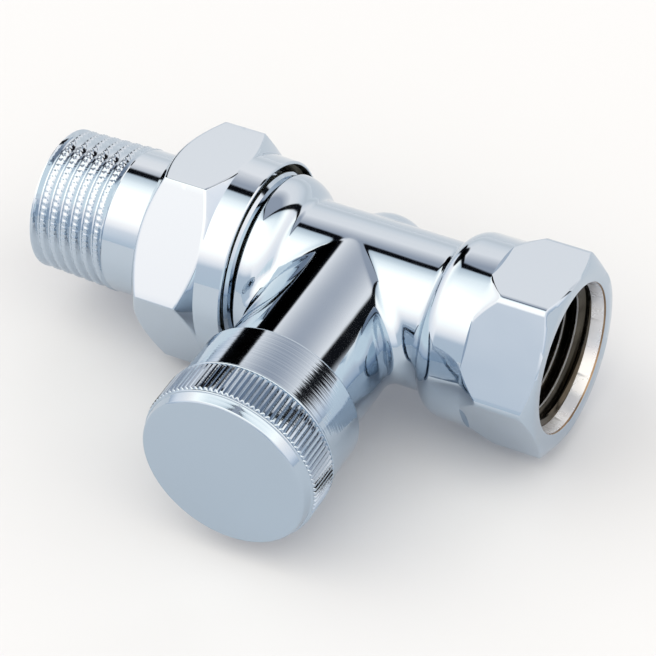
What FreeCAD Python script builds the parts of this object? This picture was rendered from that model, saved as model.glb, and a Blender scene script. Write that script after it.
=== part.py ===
import FreeCAD, Part
import math
import os
import re
import Sketcher

# Straight manual radiator valve: a forged tee with a spindle in its side branch,
# a female pipe port on the right and a union with a threaded tailpiece on the left.
# The origin is at the start of the full thread in the pipe port.
# X runs along the pipe out of the port, the spindle points along -Y, and Z is up.
# All sizes are in millimetres.

SIZES = [
    # Valve body, along the pipe, counted from the spindle axis
    ("port_reach", 31.55, "spindle axis to the first full turn of the port thread"),
    ("port_lead", 1.2, "length of the lead-in cone at the mouth of the port"),
    ("port_lead_step", 0.45, "how much wider the lead-in cone is at the mouth"),
    ("port_thread_radius", 10.48, "major radius of the port thread"),
    ("port_thread_depth", 13.5, "length of the port thread"),
    ("port_hex_flats", 26.0, "width across flats of the port hexagon"),
    ("port_hex_turn", 64.2, "angle of one corner of the port hexagon"),
    ("port_hex_long", 10.95, "length of the port hexagon"),
    ("port_hex_back_bevel", 3.4, "length of the bevel on the inner end of the port hexagon"),
    ("port_hex_face_bevel", 1.15, "length of the bevel on the face of the port hexagon"),
    ("port_collar_rise", 2.6, "how far the round collar behind the port hexagon stands over the tube"),
    ("port_collar_long", 4.4, "length of the straight part of that collar"),
    ("port_shoulder_long", 3.9, "length of the rounded shoulder behind the collar"),
    ("tube_radius", 10.85, "outer radius of the straight tube"),
    ("dome_tuck", 2.35, "how far the dome's foot reaches into the width of the tube"),
    ("dome_long", 4.7, "length of the domed shoulder"),
    ("dome_rise", 2.5, "how far the domed shoulder stands over the tube"),
    ("union_thread_radius", 13.22, "major radius of the union thread"),
    ("union_relief_radius", 12.4, "radius of the relief behind the union thread"),
    ("union_relief_long", 1.1, "width of that relief"),
    ("union_thread_long", 8.0, "length of the union thread"),
    ("union_seat_radius", 11.0, "mouth radius of the cone seat in the union end"),
    ("union_seat_long", 4.8, "length of the cone seat"),
    ("union_seat_step", 1.2, "width of the step at the bottom of the cone seat"),
    ("waterway_radius", 7.0, "radius of the bores from both ends"),
    ("waterway_stop", 10.0, "spindle axis to the bottom of both bores"),
    # Valve body, along the spindle, counted outwards from the pipe axis
    ("branch_step", 0.25, "how much slimmer the branch is than the tube"),
    ("branch_reach", 26.9, "pipe axis to the end of the full branch"),
    ("boss_thread_step", 0.4, "branch radius less the major radius of its cap thread"),
    ("boss_thread_long", 6.6, "length of the cap thread on the branch"),
    ("back_boss_radius", 6.86, "radius of the round boss on the back"),
    ("back_boss_reach", 7.06, "pipe axis to the centre of its rounding"),
    ("branch_blend", 2.0, "fillet between branch and tube"),
    ("branch_blend_share", 0.7, "fillet as a share of the bare tube beside the branch, where that is short"),
    ("branch_blend_least", 1.0, "smallest fillet between branch and tube"),
    ("chamber_radius", 7.6, "radius of the valve chamber"),
    ("chamber_floor", 0.2, "pipe axis to the floor of the valve chamber"),
    ("seat_height", 0.8, "height of the seat ring over the floor"),
    ("seat_outer_radius", 6.2, "outer radius of the seat ring"),
    ("seat_bore_radius", 4.6, "radius of the seat bore"),
    ("seat_bore_long", 3.0, "length of the seat bore"),
    ("sump_radius", 5.2, "radius of the chamber behind the seat"),
    ("sump_depth", 8.6, "pipe axis to the bottom of that chamber"),
    ("inlet_radius", 3.5, "radius of the slanted way from the port to the sump"),
    ("inlet_tilt", 18.4, "tilt of that way from the pipe axis"),
    ("inlet_offset", 7.0, "pipe axis to the way's axis, at the spindle axis"),
    ("inlet_long", 11.5, "length of that way"),
    ("outlet_radius", 4.2, "radius of the way from the chamber to the union bore"),
    ("outlet_offset", 4.8, "pipe axis to that way's axis"),
    ("outlet_long", 12.5, "length of that way"),
    # Bonnet
    ("bonnet_thread_radius", 8.25, "major radius of the bonnet thread"),
    ("bonnet_thread_long", 9.0, "length of the bonnet thread"),
    ("bonnet_spigot_long", 9.0, "length of the plain spigot below the thread"),
    ("bonnet_hex_flats", 17.0, "width across flats of the bonnet"),
    ("bonnet_hex_high", 2.1, "height of the bonnet hexagon"),
    ("bonnet_groove_drop", 4.2, "bonnet thread to the middle of its ring groove"),
    ("bonnet_ring_wire", 1.3, "section of the bonnet ring"),
    ("gland_radius", 4.95, "radius of the spindle's gland bore"),
    ("gland_drop", 4.9, "bonnet's inner end to the start of the gland bore"),
    # Spindle and valve disc
    ("valve_lift", 3.5, "travel from open to closed"),
    ("spindle_thread_radius", 4.0, "major radius of the spindle thread"),
    ("spindle_thread_long", 11.7, "length of the spindle thread"),
    ("snap_ring_drop", 1.9, "bonnet's outer end to the retaining ring"),
    ("spindle_nose_radius", 3.0, "radius of the spindle's nose"),
    ("spindle_nose_long", 3.5, "length of the spindle's nose"),
    ("socket_flats", 5.0, "width across flats of the hexagon socket"),
    ("socket_depth", 5.5, "depth of the hexagon socket"),
    ("stem_ring_wire", 1.3, "section of the two stem rings"),
    ("stem_ring_drop", 3.1, "head's outer end to the middle of the outer ring"),
    ("stem_ring_pitch", 3.4, "distance between the two stem rings"),
    ("snap_ring_thick", 0.8, "thickness of the retaining ring"),
    ("snap_ring_inner", 3.9, "inner radius of the retaining ring"),
    ("snap_ring_outer", 5.6, "outer radius of the retaining ring"),
    ("snap_ring_gap", 4.0, "opening between the ends of the retaining ring"),
    ("washer_radius", 6.4, "radius of the seat washer"),
    ("washer_thick", 2.2, "thickness of the seat washer"),
    ("holder_wall", 0.75, "wall of the cup round the washer"),
    ("holder_lip", 1.5, "depth of the cup"),
    ("holder_plate", 2.3, "thickness of the cup's floor"),
    ("holder_neck_radius", 4.7, "outer radius of the cup's neck"),
    ("clip_wire", 0.7, "wire of the clip on the nose"),
    ("clip_rise", 1.9, "cup's floor to the middle of the clip"),
    ("screw_head_radius", 2.6, "radius of the screw head"),
    ("screw_head_high", 1.2, "height of the screw head"),
    ("screw_shank_radius", 1.5, "radius of the screw shank"),
    ("screw_slot_wide", 0.7, "width of the driver slot"),
    ("screw_slot_deep", 0.6, "depth of the driver slot"),
    # Cap
    ("cap_overlap", 2.9, "how far the cap's skirt reaches down over the branch"),
    ("cap_front_step", 0.08, "how much slimmer the cap's front stretch is than its skirt"),
    ("cap_front_bevel", 0.3, "bevel round the cap's front"),
    ("cap_skirt_wall", 1.46, "wall of the cap's skirt"),
    ("cap_skirt_rounding", 0.4, "rounding of the skirt's rim"),
    ("knurl_rise", 0.59, "how far the knurl stands over the skirt"),
    ("knurl_front", 1.6, "cap front to the knurled band"),
    ("knurl_long", 6.15, "length of the knurled band"),
    ("knurl_bevel", 0.45, "bevel at both ends of the band"),
    ("knurl_count", 100, "number of grooves"),
    ("knurl_depth", 0.36, "depth of the grooves"),
    ("knurl_groove_share", 0.55, "width of a groove at the crests, as a share of the pitch"),
    ("cap_crown", 2.64, "thickness of the cap's front wall"),
    ("cap_seal_thick", 1.65, "thickness of the cap seal"),
    ("cap_seal_inner", 6.0, "inner radius of the cap seal"),
    ("cap_seal_outer", 8.2, "outer radius of the cap seal"),
    # Union nut
    ("nut_gap", 1.3, "dome to the rim of the nut's collar"),
    ("nut_hex_flats", 30.0, "width across flats of the nut"),
    ("nut_hex_turn", 68.85, "angle of one corner of the nut"),
    ("nut_hex_long", 10.0, "length of the nut's hexagon"),
    ("nut_face_bevel", 1.9, "length of the bevel on the outer face"),
    ("nut_inner_bevel", 1.6, "length of the bevel beside the collar"),
    ("nut_collar_radius", 14.95, "radius of the nut's collar at the hexagon"),
    ("nut_collar_rim_radius", 14.8, "radius of the collar at its rim"),
    ("nut_collar_long", 4.1, "length of the collar"),
    ("nut_rim_bevel", 0.35, "bevel on the collar's rim"),
    ("nut_flange", 3.6, "thickness of the nut's inward flange"),
    # Tailpiece
    ("tail_reach", 19.7, "how far the tailpiece reaches out of the nut"),
    ("tail_thread_radius", 10.48, "major radius of the tail thread"),
    ("tail_thread_long", 12.2, "length of the tail thread"),
    ("tail_end_bevel", 0.9, "bevel at the start of the tail thread"),
    ("tail_runout_long", 1.4, "width of the last valley of the tail thread"),
    ("tail_runout_deep", 1.0, "depth of that valley"),
    ("tail_plain_radius", 10.6, "radius of the plain stretch"),
    ("tail_collar_radius", 12.9, "radius of the collar inside the nut"),
    ("tail_collar_long", 2.5, "length of that collar"),
    ("tail_bore_radius", 6.2, "radius of the tail's bore"),
    ("tail_key_flats", 12.6, "width across flats of the key hexagon"),
    ("tail_key_deep", 9.0, "depth of the key hexagon"),
    ("tail_ring_wire", 1.4, "section of the tail ring"),
    ("tail_ring_drop", 2.3, "union end to the middle of the tail ring"),
    # Clearances
    ("screw_play", 0.05, "radial play of threads and running fits"),
    ("cone_play", 0.1, "play between tail cone and seat"),
    ("fixed_play", 0.1, "radial play of pieces that don't move"),
    ("seal_play", 0.04, "play beside a seal"),
    ("end_play", 0.3, "play at the ends of moving pieces"),
    ("skirt_play", 0.3, "radial play between cap skirt and branch"),
    ("groove_play", 0.1, "play in width of ring grooves"),
    ("cut_margin", 1.0, "how far cutting outlines reach past the metal"),
]

# Sizes that follow from the driving ones
FOLLOWS = [
    ("seat_face", "chamber_floor + seat_height", "pipe axis to the face of the seat"),
    ("dome_radius", "tube_radius + dome_rise", "largest radius of the domed shoulder"),
    ("port_collar_radius", "tube_radius + port_collar_rise", "radius of the collar behind the port hexagon"),
    ("port_face", "port_reach + port_lead", "spindle axis to the face of the port"),
    ("port_hex_start", "port_face - port_hex_long", "spindle axis to the start of the port hexagon"),
    ("port_collar_start", "port_hex_start - port_collar_long", "start of the port collar"),
    ("port_shoulder_start", "port_collar_start - port_shoulder_long", "foot of the port shoulder"),
    ("dome_foot", "tube_radius - dome_tuck", "spindle axis to the foot of the domed shoulder"),
    ("dome_top", "dome_foot + dome_long", "spindle axis to the end of the dome"),
    ("union_end", "dome_top + union_relief_long + union_thread_long", "end face of the union thread"),
    ("branch_radius", "tube_radius - branch_step", "outer radius of the branch"),
    ("branch_fillet",
     "max(branch_blend_least; min(branch_blend; (port_shoulder_start - branch_radius) * branch_blend_share))",
     "fillet round the foot of the branch"),
    ("boss_thread_radius", "branch_radius - boss_thread_step", "major radius of the cap thread on the branch"),
    ("boss_reach", "branch_reach + boss_thread_long", "pipe axis to the end face of the branch"),
    ("bonnet_shoulder", "boss_reach - bonnet_thread_long", "inner end of the bonnet thread"),
    ("bonnet_inner", "bonnet_shoulder - bonnet_spigot_long", "inner end of the bonnet"),
    ("bonnet_outer", "boss_reach + bonnet_hex_high", "outer end of the bonnet"),
    ("bonnet_spigot_radius", "chamber_radius - fixed_play", "radius of the bonnet's spigot"),
    ("gland_start", "bonnet_inner + gland_drop", "inner end of the gland bore"),
    ("washer_face", "seat_face + valve_lift", "face of the washer when the valve is open"),
    ("washer_back", "washer_face + washer_thick", "back of the washer"),
    ("plate_back", "washer_back + holder_plate", "floor of the cup's neck"),
    ("nose_tip", "plate_back + end_play", "tip of the spindle"),
    ("nose_root", "nose_tip + spindle_nose_long", "root of the spindle's nose"),
    ("neck_top", "nose_root - end_play", "top of the cup's neck"),
    ("head_start", "nose_root + spindle_thread_long", "start of the spindle's head"),
    ("snap_start", "bonnet_outer - snap_ring_drop", "inner face of the retaining ring"),
    ("head_end", "snap_start - end_play", "outer end of the spindle"),
    ("stem_ring_mid", "gland_radius - seal_play - stem_ring_wire / 2", "centre line of the stem rings"),
    ("cap_inner", "bonnet_outer + screw_play + cap_seal_thick", "inner face of the cap"),
    ("cap_front", "cap_inner + cap_crown", "pipe axis to the front of the cap"),
    ("cap_back", "branch_reach - cap_overlap", "pipe axis to the back rim of the cap"),
    ("cap_skirt_radius", "branch_radius + skirt_play + cap_skirt_wall", "radius of the cap's skirt"),
    ("cap_front_radius", "cap_skirt_radius - cap_front_step", "radius of the cap's front stretch"),
    ("knurl_radius", "cap_skirt_radius + knurl_rise", "radius over the knurl"),
    ("knurl_start", "cap_front - knurl_front", "front end of the knurled band"),
    ("knurl_end", "knurl_start - knurl_long", "back end of the knurled band"),
    ("nut_rim", "dome_top + nut_gap", "spindle axis to the rim of the nut's collar"),
    ("nut_hex_end", "nut_rim + nut_collar_long", "inner end of the nut's hexagon"),
    ("nut_face", "nut_hex_end + nut_hex_long", "spindle axis to the outer face of the nut"),
    ("nut_inner_face", "nut_face - nut_flange", "inner face of the nut's flange"),
    ("tail_end", "nut_face + tail_reach", "spindle axis to the end of the tailpiece"),
    ("tail_collar_start", "nut_inner_face - screw_play", "outer face of the tail's collar"),
    ("tail_collar_end", "tail_collar_start - tail_collar_long", "inner face of the tail's collar"),
    ("cone_slope", "(union_seat_radius - waterway_radius - union_seat_step) / union_seat_long",
     "slope of the cone seat"),
    ("tail_ring_place", "union_end - tail_ring_drop", "spindle axis to the tail ring"),
    ("tail_ring_radius",
     "union_seat_radius - cone_slope * tail_ring_drop"
     " - (tail_ring_wire / 2 + seal_play) * sqrt(1 + cone_slope ^ 2)",
     "radius of the tail ring's centre line"),
    ("tail_thread_end", "tail_end - tail_thread_long", "inner end of the tail thread"),
]

doc = FreeCAD.newDocument("ManualRadiatorValve")
sheet = doc.addObject("Spreadsheet::Sheet", "Sizes")
for row, (alias, number, note) in enumerate(SIZES, start=1):
    sheet.set(f"A{row}", note)
    sheet.set(f"B{row}", str(number))
    sheet.setAlias(f"B{row}", alias)
doc.recompute()
for row, (alias, formula, note) in enumerate(FOLLOWS, start=len(SIZES) + 1):
    sheet.set(f"A{row}", note)
    sheet.set(f"B{row}", "=" + formula)
    sheet.setAlias(f"B{row}", alias)
    doc.recompute()


def bound(formula):
    """A formula of sheet names, as another object's expression: every size name has an underscore."""
    return re.sub(r"\b([a-z]+_\w+)\b", r"Sizes.\1", formula)


def value(formula):
    """The present number behind a formula of sheet names."""
    return float(sheet.evalExpression(formula))


# Each view is a turn of a body's own XY plane. "port" counts from the spindle axis
# towards the port and "tail" towards the tail, with the radius upwards. "stem" has the
# radius sideways and counts outwards along the spindle.
TURNS = {
    "port": FreeCAD.Rotation(),
    "tail": FreeCAD.Rotation(FreeCAD.Vector(0, 1, 0), 180),
    "stem": FreeCAD.Rotation(FreeCAD.Vector(1, 0, 0), 180),
}
AXES = {"port": "H_Axis", "tail": "H_Axis", "stem": "V_Axis"}


def own_plane(body, role):
    """One of the body's own origin planes."""
    return next(part for part in body.Origin.OriginFeatures if part.Role == role)


def draw(sketch, corners):
    """Close a loop through the corners, each placed by two formulas. A third formula is the
    radius of an arc to the next corner, and a fourth says on which hand its centre lies."""
    spots = [FreeCAD.Vector(value(corner[0]), value(corner[1]), 0) for corner in corners]
    ends = []
    for index, corner in enumerate(corners):
        here = spots[index]
        there = spots[(index + 1) % len(spots)]
        if len(corner) == 2:
            edge = sketch.addGeometry(Part.LineSegment(here, there))
            ends.append((edge, 1, 2))
            continue
        radius = value(corner[2])
        half = (there - here) * 0.5
        hand = 1 if corner[3] == "left" else -1
        across = FreeCAD.Vector(-half.y, half.x, 0).normalize() * hand
        centre = here + half + across * math.sqrt(max(radius ** 2 - half.Length ** 2, 0))
        circle = Part.Circle(centre, FreeCAD.Vector(0, 0, 1), radius)
        first, last = (here, there) if hand == 1 else (there, here)
        start = math.atan2(first.y - centre.y, first.x - centre.x)
        stop = math.atan2(last.y - centre.y, last.x - centre.x)
        edge = sketch.addGeometry(Part.ArcOfCircle(circle, start, stop))
        ends.append((edge, 1, 2) if hand == 1 else (edge, 2, 1))
    for index, (edge, _, last) in enumerate(ends):
        after, first, _ = ends[(index + 1) % len(ends)]
        sketch.addConstraint(Sketcher.Constraint("Coincident", edge, last, after, first))
    for (edge, first, _), corner in zip(ends, corners):
        for kind, formula in (("DistanceX", corner[0]), ("DistanceY", corner[1])):
            rule = Sketcher.Constraint(kind, -1, 1, edge, first, value(formula))
            number = sketch.addConstraint(rule)
            if formula != "0":
                sketch.setExpression(f"Constraints[{number}]", bound(formula))
        if len(corner) == 4:
            rule = Sketcher.Constraint("Radius", edge, value(corner[2]))
            number = sketch.addConstraint(rule)
            sketch.setExpression(f"Constraints[{number}]", bound(corner[2]))


def new_body(label):
    """An empty body for one piece; its label names its file."""
    body = doc.addObject("PartDesign::Body", label + "_body")
    body.Label = label
    return body


def turned(body, name, view, corners, cut=False, aside="0", tilt="0", angle=360):
    """Turn an outline about the pipe or the spindle, as solid or as a cut. The axis can be
    moved aside and tilted."""
    sketch = body.newObject("Sketcher::SketchObject", name + "_outline")
    sketch.AttachmentSupport = [(own_plane(body, "XY_Plane"), "")]
    sketch.MapMode = "FlatFace"
    turn = TURNS[view]
    if tilt != "0":
        turn = FreeCAD.Rotation(FreeCAD.Vector(0, 0, 1), value(tilt)).multiply(turn)
    sketch.AttachmentOffset = FreeCAD.Placement(FreeCAD.Vector(), turn)
    if tilt != "0":
        sketch.setExpression("AttachmentOffset.Rotation.Angle", bound(tilt))
    sketch.setExpression("AttachmentOffset.Base.x", bound("-port_reach"))
    if aside != "0":
        sketch.setExpression("AttachmentOffset.Base.y", bound(aside))
    draw(sketch, corners)
    kind = "PartDesign::Groove" if cut else "PartDesign::Revolution"
    feature = body.newObject(kind, name)
    feature.Profile = sketch
    feature.ReferenceAxis = (sketch, [AXES[view]])
    feature.Angle = angle
    doc.recompute()
    return feature


def flat_sketch(body, name, role, out):
    """A sketch square to the pipe (YZ) or to the spindle (XZ), moved out along its normal."""
    sketch = body.newObject("Sketcher::SketchObject", name)
    sketch.AttachmentSupport = [(own_plane(body, role), "")]
    sketch.MapMode = "FlatFace"
    if role == "XZ_Plane":
        sketch.setExpression("AttachmentOffset.Base.x", bound("-port_reach"))
    sketch.setExpression("AttachmentOffset.Base.z", bound(out))
    return sketch


def hexagon(flats, turn):
    """The corners of a hexagon, from its width across flats and the angle of one corner."""
    reach = f"{flats} / sqrt(3)"
    angles = [f"({turn} + {60 * step})" for step in range(6)]
    return [(f"-{reach} * cos{angle}", f"{reach} * sin{angle}") for angle in angles]


def padded(body, name, sketch, length):
    """A pad along the sketch's normal."""
    feature = body.newObject("PartDesign::Pad", name)
    feature.Profile = sketch
    feature.setExpression("Length", bound(length))
    doc.recompute()
    return feature


def pocketed(body, name, sketch, depth, along_normal=False):
    """A pocket against the sketch's normal, or along it."""
    feature = body.newObject("PartDesign::Pocket", name)
    feature.Profile = sketch
    feature.Reversed = along_normal
    feature.setExpression("Length", bound(depth))
    doc.recompute()
    return feature


def ring(label, view, place, radius, wire, angle=360):
    """A round wire ring about the spindle or the pipe, with eight flats for its round section."""
    body = new_body(label)
    corners = []
    for step in range(8):
        across = f"{wire} / 2 * cos({22.5 + 45 * step})"
        along = f"{wire} / 2 * sin({22.5 + 45 * step})"
        if view == "stem":
            corners.append((f"{radius} + {across}", f"{place} + {along}"))
        else:
            corners.append((f"{place} + {along}", f"{radius} + {across}"))
    turned(body, label + "_wire", view, corners, angle=angle)


# Valve body: one brass forging. The tube, domed shoulder, union thread and port collar are
# turned about the pipe axis, and the branch and the boss on the back about the spindle.
valve_body = new_body("valve_body")
turned(valve_body, "forging", "port", [
    ("-union_end", "0"),
    ("-union_end", "union_thread_radius"),
    ("-union_end + union_thread_long", "union_thread_radius"),
    ("-union_end + union_thread_long", "union_relief_radius"),
    ("-dome_top", "union_relief_radius"),
    ("-dome_top", "dome_radius",
     "((dome_radius - tube_radius) ^ 2 + dome_long ^ 2) / (2 * (dome_radius - tube_radius))", "right"),
    ("-dome_foot", "tube_radius"),
    ("port_shoulder_start", "tube_radius",
     "((port_collar_radius - tube_radius) ^ 2 + port_shoulder_long ^ 2)"
     " / (2 * (port_collar_radius - tube_radius))", "right"),
    ("port_collar_start", "port_collar_radius"),
    ("port_hex_start", "port_collar_radius"),
    ("port_hex_start", "port_hex_flats / 2"),
    ("port_face", "port_hex_flats / 2"),
    ("port_face", "0"),
])
turned(valve_body, "branch", "stem", [
    ("0", "0"),
    ("branch_radius", "0"),
    ("branch_radius", "branch_reach"),
    ("boss_thread_radius", "branch_reach"),
    ("boss_thread_radius", "boss_reach"),
    ("0", "boss_reach"),
])

# The fillet runs round the foot of the branch, where its skin meets the tube and the dome.
forged = doc.getObject("branch")
foot = []
for number, edge in enumerate(forged.Shape.Edges, start=1):
    reach = [edge.valueAt(edge.FirstParameter + share * (edge.LastParameter - edge.FirstParameter))
             for share in (0.1, 0.5, 0.9)]
    on_skin = all(abs(math.hypot(spot.x + value("port_reach"), spot.z) - value("branch_radius")) < 0.01
                  for spot in reach)
    if on_skin and all(-spot.y < value("dome_radius + cut_margin") for spot in reach):
        foot.append(f"Edge{number}")
blend = valve_body.newObject("PartDesign::Fillet", "branch_foot")
blend.Base = (forged, foot)
blend.setExpression("Radius", bound("branch_fillet"))
doc.recompute()

# The boss on the back is half a ball on a short neck, opposite the branch.
turned(valve_body, "back_boss", "stem", [
    ("0", "0"),
    ("0", "-back_boss_reach - back_boss_radius", "back_boss_radius", "left"),
    ("back_boss_radius", "-back_boss_reach"),
    ("back_boss_radius", "0"),
])

# The port's hexagon, its long bevel towards the collar and its short one on the face
port_hexagon = flat_sketch(valve_body, "port_hexagon_outline", "YZ_Plane", "-port_reach + port_hex_start")
draw(port_hexagon, hexagon("port_hex_flats", "port_hex_turn"))
padded(valve_body, "port_hexagon", port_hexagon, "port_hex_long")
turned(valve_body, "port_back_bevel", "port", [
    ("port_hex_start", "port_collar_radius"),
    ("port_hex_start + port_hex_back_bevel", "port_hex_flats / sqrt(3)"),
    ("port_hex_start + port_hex_back_bevel", "port_hex_flats / sqrt(3) + cut_margin"),
    ("port_hex_start", "port_hex_flats / sqrt(3) + cut_margin"),
], cut=True)
turned(valve_body, "port_face_bevel", "port", [
    ("port_face", "port_hex_flats / 2 + port_hex_face_bevel / 10"),
    ("port_face", "port_hex_flats / sqrt(3) + cut_margin"),
    ("port_face - port_hex_face_bevel", "port_hex_flats / sqrt(3) + cut_margin"),
    ("port_face - port_hex_face_bevel", "port_hex_flats / sqrt(3)"),
], cut=True)

# The bores from both ends stop short of the spindle axis, in drill points.
turned(valve_body, "port_bore", "port", [
    ("port_face", "0"),
    ("port_face", "port_thread_radius + port_lead_step"),
    ("port_reach", "port_thread_radius"),
    ("port_reach - port_thread_depth", "port_thread_radius"),
    ("port_reach - port_thread_depth", "waterway_radius"),
    ("waterway_stop + waterway_radius / 4", "waterway_radius"),
    ("waterway_stop", "0"),
], cut=True)
turned(valve_body, "union_bore", "tail", [
    ("union_end", "0"),
    ("union_end", "union_seat_radius"),
    ("union_end - union_seat_long", "union_seat_radius - cone_slope * union_seat_long"),
    ("union_end - union_seat_long", "waterway_radius"),
    ("waterway_stop + waterway_radius / 4", "waterway_radius"),
    ("waterway_stop", "0"),
], cut=True)

# One stepped bore makes the bonnet thread, the valve chamber, the seat ring and the sump.
turned(valve_body, "stem_bore", "stem", [
    ("0", "-sump_depth - sump_radius / 3"),
    ("sump_radius", "-sump_depth"),
    ("sump_radius", "seat_face - seat_bore_long"),
    ("seat_bore_radius", "seat_face - seat_bore_long"),
    ("seat_bore_radius", "seat_face"),
    ("seat_outer_radius", "seat_face"),
    ("seat_outer_radius", "chamber_floor"),
    ("chamber_radius", "chamber_floor"),
    ("chamber_radius", "bonnet_shoulder"),
    ("bonnet_thread_radius + fixed_play", "bonnet_shoulder"),
    ("bonnet_thread_radius + fixed_play", "boss_reach"),
    ("0", "boss_reach"),
], cut=True)

# Water comes in under the seat by a slanted way and leaves the chamber by a straight one.
turned(valve_body, "inlet_way", "port", [
    ("0", "0"),
    ("0", "inlet_radius"),
    ("inlet_long", "inlet_radius"),
    ("inlet_long", "0"),
], cut=True, aside="inlet_offset", tilt="-inlet_tilt")
turned(valve_body, "outlet_way", "tail", [
    ("0", "0"),
    ("0", "outlet_radius"),
    ("outlet_long", "outlet_radius"),
    ("outlet_long", "0"),
], cut=True, aside="-outlet_offset")

# Bonnet: turned brass insert that screws into the branch and guides the spindle.
bonnet = new_body("bonnet")
turned(bonnet, "bonnet_blank", "stem", [
    ("0", "bonnet_inner"),
    ("bonnet_spigot_radius", "bonnet_inner"),
    ("bonnet_spigot_radius", "bonnet_shoulder - screw_play"),
    ("bonnet_thread_radius", "bonnet_shoulder - screw_play"),
    ("bonnet_thread_radius", "boss_reach"),
    ("0", "boss_reach"),
])
bonnet_hexagon = flat_sketch(bonnet, "bonnet_hexagon_outline", "XZ_Plane", "boss_reach")
draw(bonnet_hexagon, hexagon("bonnet_hex_flats", "0"))
padded(bonnet, "bonnet_hexagon", bonnet_hexagon, "bonnet_hex_high")
turned(bonnet, "bonnet_bevel", "stem", [
    ("bonnet_hex_flats / 2", "bonnet_outer"),
    ("bonnet_hex_flats / sqrt(3) + cut_margin", "bonnet_outer"),
    ("bonnet_hex_flats / sqrt(3) + cut_margin", "bonnet_outer - bonnet_hex_high / 2"),
], cut=True)
turned(bonnet, "gland_bore", "stem", [
    ("0", "bonnet_inner"),
    ("spindle_thread_radius + screw_play", "bonnet_inner"),
    ("spindle_thread_radius + screw_play", "gland_start"),
    ("gland_radius", "gland_start"),
    ("gland_radius", "snap_start - screw_play"),
    ("snap_ring_outer + screw_play", "snap_start - screw_play"),
    ("snap_ring_outer + screw_play", "snap_start + snap_ring_thick + screw_play"),
    ("gland_radius", "snap_start + snap_ring_thick + screw_play"),
    ("gland_radius", "bonnet_outer"),
    ("0", "bonnet_outer"),
], cut=True)
turned(bonnet, "bonnet_ring_groove", "stem", [
    ("bonnet_spigot_radius - bonnet_ring_wire",
     "bonnet_shoulder - bonnet_groove_drop - bonnet_ring_wire / 2 - groove_play"),
    ("bonnet_spigot_radius + cut_margin",
     "bonnet_shoulder - bonnet_groove_drop - bonnet_ring_wire / 2 - groove_play"),
    ("bonnet_spigot_radius + cut_margin",
     "bonnet_shoulder - bonnet_groove_drop + bonnet_ring_wire / 2 + groove_play"),
    ("bonnet_spigot_radius - bonnet_ring_wire",
     "bonnet_shoulder - bonnet_groove_drop + bonnet_ring_wire / 2 + groove_play"),
], cut=True)
ring("bonnet_o_ring", "stem", "bonnet_shoulder - bonnet_groove_drop",
     "chamber_radius - seal_play - bonnet_ring_wire / 2", "bonnet_ring_wire")

# Retaining ring: an open steel ring sprung into its groove in the bonnet.
retaining_ring = new_body("retaining_ring")
snap = turned(retaining_ring, "snap_ring", "stem", [
    ("snap_ring_inner", "snap_start"),
    ("snap_ring_outer", "snap_start"),
    ("snap_ring_outer", "snap_start + snap_ring_thick"),
    ("snap_ring_inner", "snap_start + snap_ring_thick"),
])
snap.setExpression("Angle", bound("360 - 180 / pi * snap_ring_gap / snap_ring_inner"))

# Spindle: thread below, gland head with two ring grooves above, and a nose for the cup.
spindle = new_body("spindle")
turned(spindle, "spindle_blank", "stem", [
    ("0", "nose_tip"),
    ("spindle_nose_radius", "nose_tip"),
    ("spindle_nose_radius", "nose_root"),
    ("spindle_thread_radius", "nose_root"),
    ("spindle_thread_radius", "head_start"),
    ("gland_radius - screw_play", "head_start"),
    ("gland_radius - screw_play", "head_end"),
    ("0", "head_end"),
])
for order, middle in (("first", "head_end - stem_ring_drop - stem_ring_pitch"),
                      ("second", "head_end - stem_ring_drop")):
    turned(spindle, f"{order}_ring_groove", "stem", [
        ("stem_ring_mid - stem_ring_wire / 2 - seal_play", f"{middle} - stem_ring_wire / 2 - groove_play"),
        ("gland_radius + cut_margin", f"{middle} - stem_ring_wire / 2 - groove_play"),
        ("gland_radius + cut_margin", f"{middle} + stem_ring_wire / 2 + groove_play"),
        ("stem_ring_mid - stem_ring_wire / 2 - seal_play", f"{middle} + stem_ring_wire / 2 + groove_play"),
    ], cut=True)
turned(spindle, "clip_groove", "stem", [
    ("spindle_nose_radius - clip_wire / 2 - screw_play", "plate_back + clip_rise - clip_wire / 2 - screw_play"),
    ("spindle_nose_radius + cut_margin", "plate_back + clip_rise - clip_wire / 2 - screw_play"),
    ("spindle_nose_radius + cut_margin", "plate_back + clip_rise + clip_wire / 2 + screw_play"),
    ("spindle_nose_radius - clip_wire / 2 - screw_play", "plate_back + clip_rise + clip_wire / 2 + screw_play"),
], cut=True)
socket = flat_sketch(spindle, "socket_outline", "XZ_Plane", "head_end")
draw(socket, hexagon("socket_flats", "0"))
pocketed(spindle, "hexagon_socket", socket, "socket_depth")
ring("spindle_o_ring_inner", "stem", "head_end - stem_ring_drop - stem_ring_pitch",
     "stem_ring_mid", "stem_ring_wire")
ring("spindle_o_ring_outer", "stem", "head_end - stem_ring_drop",
     "stem_ring_mid", "stem_ring_wire")

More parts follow.
